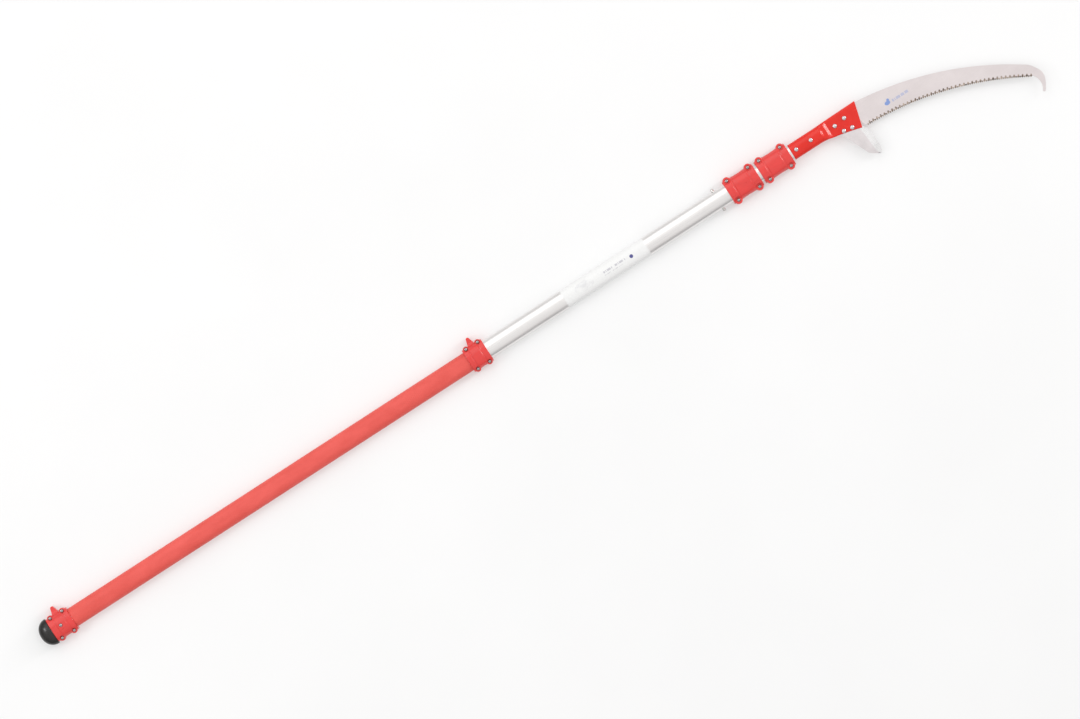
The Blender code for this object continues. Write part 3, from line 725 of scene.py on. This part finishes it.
def head_row(x):
    """Low edge, high edge, half depth and squareness of the head at x from the first rivet."""
    low = np.interp(x, [-14, 60, 72, 84, 94, 114, 134, 152, 168],
                    [-20.8, -20.8, -21.5, -23.0, -25.6, -29.2, -34.0, -38.8, -43.2])
    high = np.interp(x, [-14, 60, 168], [20.8, 20.8, 23.2])
    depth = np.interp(x, [-14, 71, 73, 77, 79, 86, 88, 93.6, 94.8, 96],
                      [13.8, 13.8, 13.6, 11.8, 11.3, 9.9, 9.2, 5.7, 5.1, PLATE_HALF])
    power = 2.3 + 5.0 * smooth(70.0, 92.0, x)
    return low, high, depth, power


def head_body():
    """Oval socket that ends in a rounded nose over two flat cheeks, with a slanted front edge."""
    xs = np.concatenate([[-13.5, -13.5, -13.3, -12.9, -12.3], np.arange(-10, 66, 5.0), np.arange(66, 97, 0.5),
                         np.arange(98, 167, 3.0),
                         [167.0, 167.5, 167.8, 168.0]])
    inset = np.zeros(len(xs))
    inset[:5] = (1.6, 0.9, 0.35, 0.1, 0.0)
    inset[-4:] = (0.0, 0.25, 0.65, 1.3)
    rows = []
    for x, ease in zip(xs, inset):
        low, high, depth, power = head_row(x)
        ring = superellipse((high - low) / 2 - ease, depth - ease, 120, power, (high + low) / 2)
        lean = smooth(100.0, 168.0, x) * 18.5 * np.clip((ring[:, 0] + 43.2) / 66.4, 0, 1)
        rows.append(np.column_stack([HEAD + x + lean, ring]))
    count = 120
    bore = [(HEAD - 13.5, 19.9, 12.9), (HEAD - 12.7, 19.3, 12.3), (HEAD + 72, 19.3, 12.3)]
    inner = [np.column_stack([np.full(count, x), superellipse(a, b, count)]) for x, a, b in bore]
    rows = inner[::-1] + rows
    faces = ring_faces(len(rows), count)
    faces.append(tuple(range(count)))
    last = (len(rows) - 1) * count
    for k in range(count // 2 - 1):
        faces.append((last + k, last + k + 1, last + count - 2 - k, last + count - 1 - k))
    made = mesh_object("head_body", place(np.concatenate(rows)), [face[::-1] for face in faces], 40)
    slot_points = [(x, y, z) for z in (-0.9, 0.9)
                   for x, y in ((97, -70), (210, -70), (210, 20.6), (97, 20.6))]
    slot_faces = [(0, 3, 2, 1), (4, 5, 6, 7), (0, 1, 5, 4), (1, 2, 6, 5), (2, 3, 7, 6), (3, 0, 4, 7)]
    slot = mesh_object("slot", place([(HEAD + x, y, z) for x, y, z in slot_points]), slot_faces)
    cut(made, slot)
    return dressed(made, enamel_red(), "top_section", "head_red", "saw_head")


def enamel_red():
    """Thick glossy enamel over a casting, with soft waves in its skin."""
    f = Finish("head_enamel", Coat_Weight=0.3, Coat_Roughness=0.06, Specular_IOR_Level=0.3)
    cloud = f.noise(f.stretched(22.0, 22.0, 22.0), 4.0)
    wave = f.noise(f.stretched(60.0, 60.0, 60.0), 1.0)
    f.use("Base Color", f.mix(f.spread(cloud, 0.0, 1.0), (0.66, 0.012, 0.004), (0.74, 0.020, 0.009)))
    f.use("Roughness", f.spread(wave, 0.22, 0.28))
    f.bump(wave, 0.08, 0.0002)
    return f.material


def bowed(start, end, rise, steps):
    """Points of the arc from start to end that stands off their chord by rise, to its left."""
    chord = math.dist(start, end)
    radius = chord * chord / (8 * rise) + rise / 2
    half = math.asin(chord / 2 / radius)
    ux, uy = (end[0] - start[0]) / chord, (end[1] - start[1]) / chord
    made = []
    for k in range(steps + 1):
        a = half * (2 * k / steps - 1)
        along = chord / 2 + radius * math.sin(a)
        off = radius * math.cos(a) - (radius - rise)
        made.append((start[0] + ux * along - uy * off, start[1] + uy * along + ux * off))
    return made


def tooth_roots():
    """The line that the teeth stand on."""
    return bowed((185.5, -42.0), (588.8, -162.0), 26.3, 80)


def flat_plate(name, outline, half, ease=0.2):
    """Flat plate with eased edges, from a counter-clockwise outline."""
    ring = np.array(outline, float)
    before, after = np.roll(ring, 1, 0), np.roll(ring, -1, 0)
    way = after - before
    way /= np.maximum(np.linalg.norm(way, axis=1, keepdims=True), 1e-9)
    inner = ring + ease * np.column_stack([-way[:, 1], way[:, 0]])
    count = len(ring)
    rows = []
    for flat, z in ((inner, -half), (ring, -half + ease), (ring, half - ease), (inner, half)):
        rows.append(np.column_stack([HEAD + flat[:, 0], flat[:, 1], np.full(count, z)]))
    faces = ring_faces(4, count) + [tuple(range(count - 1, -1, -1)), tuple(range(3 * count, 4 * count))]
    return mesh_object(name, place(np.concatenate(rows)), faces, 25)


def saw_plate(material):
    tang = [(161.0, 19.8), (150.0, 13.5), (100.0, 13.5), (100.0, -13.5), (158.0, -13.5), (171.0, -20.0)]
    heel = [(176.0, -38.0), (178.0, -41.0), (181.0, -42.0)]
    hook = [(593.5, -166.5), (598.4, -174.5), (600.6, -184.0), (600.4, -194.0), (597.2, -203.0),
            (592.8, -210.0), (594.0, -212.8), (598.0, -213.6), (602.4, -209.0), (609.4, -197.6),
            (614.0, -188.0), (616.8, -179.0), (617.2, -171.0), (614.6, -162.0), (610.0, -153.0),
            (603.6, -143.0)]
    spine = list(reversed(bowed((189.0, 19.8), (596.0, -135.0), 28.5, 48)))
    outline = tang + heel + tooth_roots() + hook + spine
    made = flat_plate("saw_plate", outline, BLADE_HALF)
    return dressed(made, material, "top_section", "blade_steel", "saw_blade")


def tooth(name, side):
    """Raked tooth with ground flanks, full on one face of the blade. side is 1 for the upper face."""
    full, ground = 0.72 * side, -0.62 * side
    points = [(-1.4, 4.3, full), (1.7, 4.3, full), (-2.6, -0.6, full), (-1.3, -4.1, full),
              (-0.6, -4.15, full), (2.6, -0.6, full), (-2.4, 1.2, ground), (2.4, 1.2, ground),
              (-1.7, -0.3, ground), (-0.9, -2.7, ground), (-0.5, -2.7, ground), (1.6, -0.3, ground)]
    faces = [(0, 1, 5, 4, 3, 2), (6, 8, 9, 10, 11, 7), (0, 2, 8, 6), (2, 3, 9, 8),
             (3, 4, 10, 9), (4, 5, 11, 10), (5, 1, 7, 11), (1, 0, 6, 7)]
    if side > 0:
        faces = [face[::-1] for face in faces]
    return mesh_object(name, np.array(points) * MM, faces, 10)


def saw_teeth():
    """Rows of hardened teeth along the blade's edge."""
    roots = tooth_roots()
    line = bpy.data.meshes.new("saw_teeth")
    line.from_pydata([tuple(p) for p in place([(HEAD + x, y, 0.0) for x, y in roots])],
                     [(k, k + 1) for k in range(len(roots) - 1)], [])
    made = bpy.data.objects.new("saw_teeth", line)
    bpy.context.scene.collection.objects.link(made)
    material = hardened_teeth()
    upper, lower = tooth("upper_tooth", 1), tooth("lower_tooth", -1)
    run_group(made, teeth_group(), Upper_Tooth=upper, Lower_Tooth=lower, Pitch=PITCH * MM, Material=material)
    for shape in (upper, lower):
        bpy.data.objects.remove(shape, do_unlink=True)
    made.data.set_sharp_from_angle(angle=math.radians(10))
    return dressed(made, material, "top_section", "blade_steel")


def hardened_teeth():
    """Tooth steel from straw brown to grey, in patches: partly the real heat tint of hardened teeth, partly a
    painted dark reflection of the ground flanks.
    """
    f = Finish("hardened_teeth", Metallic=1.0)
    patch = f.noise(f.stretched(130.0, 130.0, 130.0), 3.0)
    marks = f.noise(f.stretched(900.0, 900.0, 900.0), 3.0)
    # painted reflection: the near-black patches also stand in for the ground flanks reflecting dark, on top
    # of the real heat tint
    f.use("Base Color", f.mix(f.spread(patch, 0.0, 1.0, 0.40, 0.60),
                              (0.07, 0.044, 0.032), (0.52, 0.42, 0.35)))
    f.use("Roughness", f.spread(marks, 0.30, 0.48))
    f.bump(marks, 0.1, 0.00004)
    return f.material


def sickle(material, bevel):
    """Short cutter with a broad ground bevel along its front edge."""
    back = [(162.0, -17.5), (113.0, -17.5), (113.0, -33.0), (118.5, -38.0), (147.5, -104.0), (156.0, -111.4),
            (166.0, -118.0)]
    land = [(169.5, -116.0), (166.9, -110.0), (165.6, -98.0), (164.6, -76.0), (163.2, -57.0), (161.5, -44.0),
            (160.0, -33.0)]
    edge = [(175.0, -121.8), (179.6, -115.6), (182.0, -100.0), (182.2, -77.0), (179.3, -57.0), (173.0, -44.0),
            (165.5, -33.0)]
    half, points, faces = BLADE_HALF, [], []
    flat = back + land
    points += [(x, y, half) for x, y in flat] + [(x, y, -half) for x, y in flat]
    points += [(x, y, 0.1) for x, y in edge] + [(x, y, -0.1) for x, y in edge]
    n, b, e = len(flat), len(back), len(edge)
    faces += [tuple(range(n)), tuple(range(2 * n - 1, n - 1, -1))]
    for k in range(b - 1):
        faces.append((k, k + n, k + n + 1, k + 1))
    for k in range(e - 1):
        faces.append((b + k, 2 * n + k, 2 * n + k + 1, b + k + 1))
        faces.append((b + n + k, b + n + k + 1, 2 * n + e + k + 1, 2 * n + e + k))
        faces.append((2 * n + k, 2 * n + e + k, 2 * n + e + k + 1, 2 * n + k + 1))
    faces.append((b - 1, b - 1 + n, b + n, 2 * n + e, 2 * n, b))
    faces.append((n - 1, 2 * n + e - 1, 2 * n + 2 * e - 1, 2 * n - 1, n, 0))
    made = mesh_object("sickle_plate", place([(HEAD + x, y, z) for x, y, z in points]), faces, 0.5)
    dressed(made, material, "top_section", "sickle_steel", "sickle_blade")
    made.data.materials.append(bevel)
    for face in made.data.polygons:
        if len(face.vertices) == 4 and min(face.vertices) >= b and max(face.vertices) >= 2 * n:
            face.material_index = 1
    return made


def dome_bolt():
    """Dome head bolt with its washer face at z = 0."""
    profile = [(2.0, -10.0), (2.5, -9.4), (2.5, 0.0), (5.4, 0.0), (5.6, 0.25), (5.55, 0.8), (5.1, 1.6),
               (4.3, 2.3), (3.1, 2.85), (1.6, 3.12), (0.5, 3.2)]
    return turned("dome_bolt", [(r * MM, h * MM) for r, h in profile], 36)


def hex_nut():
    """Nut with chamfered corners and the bolt's end in it. It faces away from the head.
    Its seat is at z = 0."""
    a = np.radians(np.arange(6) * 60)
    rows = [np.column_stack([r * np.cos(a), r * np.sin(a), np.full(6, h)]) for r, h in
            ((4.4, 0.0), (4.9, 0.35), (4.9, 3.2), (4.35, 3.7))]
    faces = ring_faces(4, 6) + [tuple(range(5, -1, -1)), tuple(range(18, 24))]
    nut = mesh_object("nut", np.concatenate(rows) * MM, faces, 15)
    end = turned("end", [(2.5 * MM, 3.0 * MM), (2.5 * MM, 4.1 * MM), (2.1 * MM, 4.5 * MM)], 24)
    return merged("hex_nut", [nut, end])


def rivet_dome():
    profile = [(2.5, -14.0), (2.5, 0.0), (5.0, 0.0), (5.2, 0.3), (5.1, 0.9), (4.5, 1.6), (3.3, 2.25),
               (1.8, 2.6), (0.5, 2.7)]
    return turned("rivet_dome", [(r * MM, h * MM) for r, h in profile], 36)


def head_fasteners(material):
    """Bolt heads on the front, nuts on the back, and rivet domes on both sides of the socket."""
    bolts = [(HEAD + x, y, PLATE_HALF + 0.1) for x, y in BLADE_BOLTS + SICKLE_BOLTS]
    nodes = [f"{part}_{word}_bolt" for part in ("blade", "sickle") for word in ("rear", "front")]
    shapes = [dome_bolt(), hex_nut(), rivet_dome()]
    fasteners("head_bolts", shapes[0], bolts, material, "top_section", nodes, 3)
    nuts = [(x, y, -PLATE_HALF - 0.1) for x, y, _ in bolts]
    fasteners("head_nuts", shapes[1], nuts, material, "top_section",
              [n.replace("bolt", "nut") for n in nodes], 4, (0.0, 0.0, -1.0))
    domes = [(HEAD + x, 0.0, s * 13.9) for x in RIVETS for s in (1, -1)]
    aims = [(0.0, 0.0, float(s)) for x in RIVETS for s in (1, -1)]
    fasteners("head_rivets", shapes[2], domes, material, "top_section",
              ["head_rivet_rear", "head_rivet_front"], 5, aims)
    for shape in shapes:
        bpy.data.objects.remove(shape, do_unlink=True)


# ---- Studio ----

def floor():
    made = mesh_object("studio_floor", [(-60, -60, 0), (60, -60, 0), (60, 60, 0), (-60, 60, 0)],
                       [(0, 1, 2, 3)])
    made.data.materials.append(studio_floor())


def softbox(name, place_at, aim_at, size, power):
    light = bpy.data.lights.new(name, "AREA")
    light.shape = "RECTANGLE"
    light.size, light.size_y = size
    light.energy = power
    made = bpy.data.objects.new(name, light)
    bpy.context.scene.collection.objects.link(made)
    made.visible_camera = False
    made.location = place_at
    made.rotation_euler = (Vector(aim_at) - Vector(place_at)).to_track_quat("-Z", "Y").to_euler()


def sky():
    """Even white studio, dimmer towards the horizon and a little more so on the teeth's side."""
    world = bpy.data.worlds.new("studio")
    bpy.context.scene.world = world
    world.use_nodes = True
    nodes, links = world.node_tree.nodes, world.node_tree.links
    way = nodes.new("ShaderNodeTexCoord")
    lean = nodes.new("ShaderNodeVectorMath")
    lean.operation = "DOT_PRODUCT"
    lean.inputs[1].default_value = (0.0, 0.22, 1.0)
    links.new(way.outputs["Generated"], lean.inputs[0])
    ramp = nodes.new("ShaderNodeMapRange")
    links.new(lean.outputs["Value"], ramp.inputs[0])
    nodes["Background"].inputs["Color"].default_value = (1.0, 0.995, 0.99, 1.0)
    for key, value in ((1, 0.06), (2, 0.70), (3, 0.38), (4, 0.92)):
        ramp.inputs[key].default_value = value
    links.new(ramp.outputs[0], nodes["Background"].inputs["Strength"])


def camera():
    """Straight down on the saw, turned so that the poles run up to the right."""
    lens = bpy.data.cameras.new("camera")
    lens.lens = 200
    lens.clip_end = 60
    made = bpy.data.objects.new("camera", lens)
    bpy.context.scene.collection.objects.link(made)
    made.location = (1.349, -0.092, 14.88)
    made.rotation_euler = (0, 0, math.radians(-32.9))
    bpy.context.scene.camera = made
    bpy.context.scene.view_settings.view_transform = "Standard"


# ---- Assembly ----

COLLAR = {"high": 22.0, "waist": 31.5, "lug": (31.0, 28.0), "radius": 9.8, "band": 18.0, "pad": (20.0, 18.0)}
SMALL = {**COLLAR, "high": 20.0, "waist": 30.5, "lug": (31.0, 27.0), "radius": 9.6}
HANDLE = {"high": 22.0, "waist": 31.5, "lug": (17.0, 28.4), "radius": 7.4, "band": 12.0, "pad": (12.0, 17.0),
          "ear": True}
BUTT = {**HANDLE, "lug": (17.5, 28.4), "centre": True}
SPANS = {"butt_clamp": (33.3, 92.0), "handle_collar": (1260.3, 1315.3), "lower_collar": (2027.0, 2113.0),
         "upper_collar": (2120.0, 2207.0)}
SHAPES = {"butt_clamp": BUTT, "handle_collar": HANDLE, "lower_collar": COLLAR, "upper_collar": SMALL}

COPIES = copies_group()
CLAMP_RED = moulded_plastic("clamp_red_plastic", (0.76, 0.040, 0.035))
SCREW_STEEL = plated_steel("dull_zinc_steel", (0.46, 0.43, 0.43))
BOLT_STEEL = plated_steel("zinc_plated_steel", (0.70, 0.67, 0.68))
SPRING_STEEL = plated_steel("spring_steel", (0.62, 0.60, 0.58), (60.0, 60.0, 1500.0))

pole("base_pole", 33.8, 2098.5, BASE, [LOCKS], "base_section", (0.87, 0.85, 0.84))
pole("middle_pole", 215.0, 2192.5, MIDDLE, [LOCKS, LOCKS - MIDDLE_TRAVEL], "middle_section",
     (0.86, 0.84, 0.83))
pole("top_pole", 455.0, 2296.0, TOP, [LOCKS, LOCKS - TOP_TRAVEL], "top_section", (0.86, 0.84, 0.83))
grip()
label()
butt_cap()
clamp("butt_clamp", BUTT, SPANS["butt_clamp"], BASE, "base_section")
clamp("handle_collar", HANDLE, SPANS["handle_collar"], BASE, "base_section")
clamp("lower_collar", COLLAR, SPANS["lower_collar"], BASE, "base_section", MIDDLE)
clamp("upper_collar", SMALL, SPANS["upper_collar"], MIDDLE, "middle_section", TOP)

cross = cross_screw()
spots, names = [], []
for node in ("butt_clamp", "handle_collar", "lower_collar"):
    spots += screw_spots(SHAPES[node], SPANS[node])
    names += [f"{node}_screw_{k}" for k in range(1, 5)]
spots.append((ORIGIN_STATION - 3.0, 0.0, 19.4))
fasteners("base_screws", cross, spots, SCREW_STEEL, "base_section", names + ["butt_centre_screw"], 1)
fasteners("middle_screws", cross, screw_spots(SMALL, SPANS["upper_collar"]), SCREW_STEEL, "middle_section",
          [f"upper_collar_screw_{k}" for k in range(1, 5)], 2)
bpy.data.objects.remove(cross, do_unlink=True)

release_button("left", 1, SPRING_STEEL)
release_button("right", -1, SPRING_STEEL)
head_body()
saw_plate(blade_steel())
saw_teeth()
sickle(plated_steel("sickle_steel", (0.80, 0.75, 0.755), (60.0, 1200.0, 60.0), (0.30, 0.44)),
       plated_steel("ground_bevel", (0.94, 0.93, 0.93), (1500.0, 50.0, 50.0), (0.16, 0.26)))
head_fasteners(BOLT_STEEL)

NYLON = grey_nylon()
for name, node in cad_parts.items():
    if name.endswith(("bush", "guide")) or "foot_button" in name:
        node.data.materials.clear()
        node.data.materials.append(SPRING_STEEL if "button" in name else NYLON)

floor()
softbox("overhead", (1.0, 1.9, 3.2), (1.3, -0.1, 0.0), (5.0, 2.6), 30)
softbox("butt_spot", (-2.2, 1.3, 3.0), (0.0, 0.0, 0.0), (0.7, 0.7), 22)
softbox("right_strip", (8.3, 0.25, 2.8), (2.3, 0.0, 0.0), (0.75, 5.5), 190)
sky()
camera()
